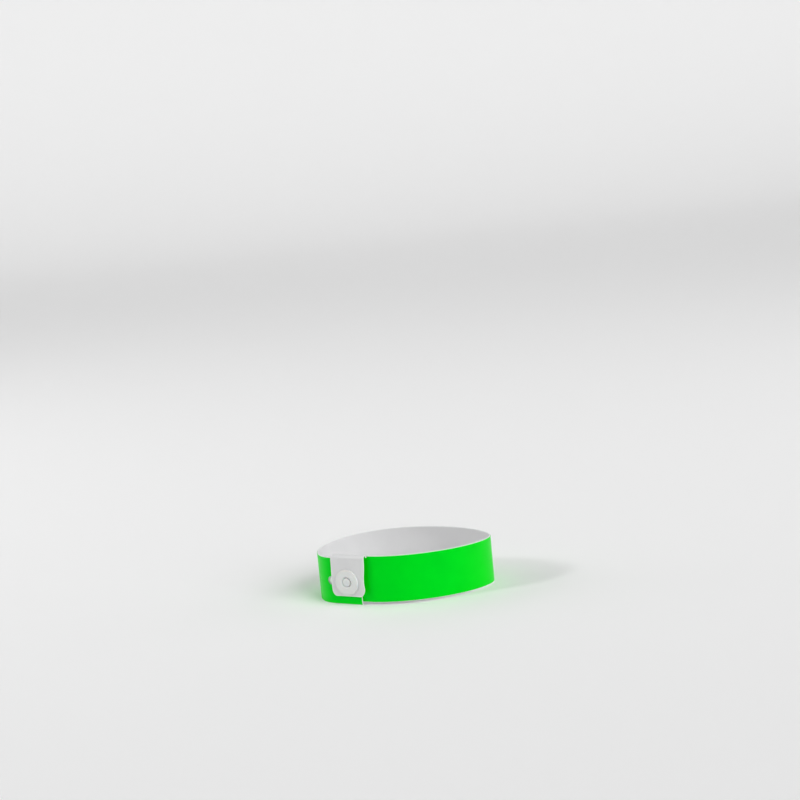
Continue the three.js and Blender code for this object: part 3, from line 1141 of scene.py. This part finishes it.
class WRISTBAND_OT_studio(bpy.types.Operator):
    """Make the pale floor, the soft lights and the camera"""

    bl_idname = "wristband.studio"
    bl_label = "Studio"

    FLOOR_REACH = 3.0
    WALL_HEIGHT = 2.5
    SWEEP = 1.2
    KEY_SPREAD = math.radians(45)
    SIDE_SPREAD = math.radians(9)
    PANEL = 0.6  # size of the square lights

    def execute(self, context):
        studio = context.scene.wristband_studio
        self.make_floor()
        self.make_room(context.scene, studio)
        middle = Vector((0, 0, (CAD_BOX[0][2] + CAD_BOX[1][2]) / 2))
        for name, place, strength, spread in (
            ("Key", (0.52, -0.7, 0.5), studio.key_strength, self.KEY_SPREAD),
            ("Side", (-0.86, -0.14, 0.5), studio.side_strength, self.SIDE_SPREAD),
        ):
            light = add_light(name, "SUN", place, middle)
            light.energy = strength
            light.angle = spread
        for name, place, power in (
            ("Left", (-0.87, 0.35, 0.36), studio.left_power),
            ("Right", (0.95, 0.1, 0.3), studio.right_power),
            ("Top", (0.1, 0.0, 1.0), studio.top_power),
        ):
            light = add_light(name, "AREA", place, middle)
            light.energy = power
            light.size = self.PANEL
        self.make_camera(context.scene, studio, middle)
        return {"FINISHED"}

    def make_floor(self):
        """A pale floor that sweeps up into a wall far behind the loop."""
        bpy.ops.object.select_all(action="DESELECT")
        bpy.ops.mesh.primitive_plane_add(size=2 * self.FLOOR_REACH, location=(0, 0, 0))
        floor = bpy.context.active_object
        floor.name = "studio_floor"
        bpy.ops.object.mode_set(mode="OBJECT")
        corners = floor.data.vertices
        far = [e for e in floor.data.edges if all(corners[v].co.y > 0 for v in e.vertices)]
        for group in (floor.data.polygons, floor.data.edges, floor.data.vertices):
            group.foreach_set("select", [False] * len(group))
        far[0].select = True
        bpy.ops.object.mode_set(mode="EDIT")
        bpy.ops.mesh.select_mode(type="EDGE")
        bpy.ops.mesh.extrude_region_move(
            TRANSFORM_OT_translate={"value": (0, 0, self.WALL_HEIGHT)}
        )
        bpy.ops.object.mode_set(mode="OBJECT")
        sweep = floor.modifiers.new("Sweep", "BEVEL")
        sweep.width = self.SWEEP
        sweep.segments = 16
        sweep.limit_method = "ANGLE"
        apply_all(floor)
        bpy.ops.object.shade_smooth()
        material = bpy.data.materials.new("Pale floor")
        material.use_nodes = True
        shader = material.node_tree.nodes["Principled BSDF"]
        shader.inputs["Base Color"].default_value = (0.9, 0.9, 0.9, 1.0)
        shader.inputs["Roughness"].default_value = 0.9
        floor.data.materials.append(material)

    def make_room(self, scene, studio):
        world = bpy.data.worlds.new("White room")
        world.use_nodes = True
        background = world.node_tree.nodes["Background"]
        background.inputs["Color"].default_value = (1.0, 1.0, 1.0, 1.0)
        background.inputs["Strength"].default_value = studio.surround
        scene.world = world
        scene.view_settings.view_transform = "Standard"

    def make_camera(self, scene, studio, middle):
        data = bpy.data.cameras.new("Camera")
        data.lens = studio.lens
        data.clip_start = 0.01
        camera = bpy.data.objects.new("Camera", data)
        scene.collection.objects.link(camera)
        az, el = studio.azimuth, studio.elevation
        away = Vector((math.sin(az) * math.cos(el), -math.cos(az) * math.cos(el), math.sin(el)))
        place = middle + away * studio.distance
        side = Vector((math.cos(az), math.sin(az), 0))
        aim = middle + side * studio.aim_side + Vector((0, 0, studio.aim_rise))
        back = (place - aim).normalized()
        right = Vector((0, 0, 1)).cross(back).normalized()
        up = back.cross(right)
        c, s = math.cos(studio.roll), math.sin(studio.roll)
        axes = Matrix((right * c - up * s, up * c + right * s, back)).transposed()
        camera.rotation_mode = "QUATERNION"
        camera.location = place
        camera.rotation_quaternion = axes.to_quaternion()
        scene.camera = camera


class WRISTBAND_PT_panel(bpy.types.Panel):
    """Lists the wristband's pieces in the order they are made"""

    bl_label = "Wristband"
    bl_idname = "WRISTBAND_PT_panel"
    bl_space_type = "VIEW_3D"
    bl_region_type = "UI"
    bl_category = "Wristband"

    def draw(self, context):
        layout = self.layout
        for settings in ("wristband_sizes", "wristband_finish", "wristband_studio"):
            box = layout.box()
            group = getattr(context.scene, settings)
            for name in group.bl_rna.properties.keys():
                if name not in ("rna_type", "name"):
                    box.prop(group, name)
        for operator in OPERATORS:
            layout.operator(operator.bl_idname)


GROUPS = (WristbandSizes, WristbandFinish, WristbandStudio)
OPERATORS = (
    WRISTBAND_OT_strap,
    WRISTBAND_OT_tail,
    WRISTBAND_OT_flap,
    WRISTBAND_OT_stud,
    WRISTBAND_OT_socket,
    WRISTBAND_OT_studio,
)


def register():
    for cls in (*GROUPS, *OPERATORS, WRISTBAND_PT_panel):
        bpy.utils.register_class(cls)
    bpy.types.Scene.wristband_sizes = bpy.props.PointerProperty(type=WristbandSizes)
    bpy.types.Scene.wristband_finish = bpy.props.PointerProperty(type=WristbandFinish)
    bpy.types.Scene.wristband_studio = bpy.props.PointerProperty(type=WristbandStudio)


def unregister():
    del bpy.types.Scene.wristband_studio
    del bpy.types.Scene.wristband_finish
    del bpy.types.Scene.wristband_sizes
    for cls in reversed((*GROUPS, *OPERATORS, WRISTBAND_PT_panel)):
        bpy.utils.unregister_class(cls)


def main():
    register()
    make_finishes(bpy.context.scene.wristband_finish)
    bpy.ops.wristband.strap()
    bpy.ops.wristband.tail()
    bpy.ops.wristband.flap()
    bpy.ops.wristband.stud()
    bpy.ops.wristband.socket()
    bpy.ops.wristband.studio()


if __name__ == "__main__":
    main()
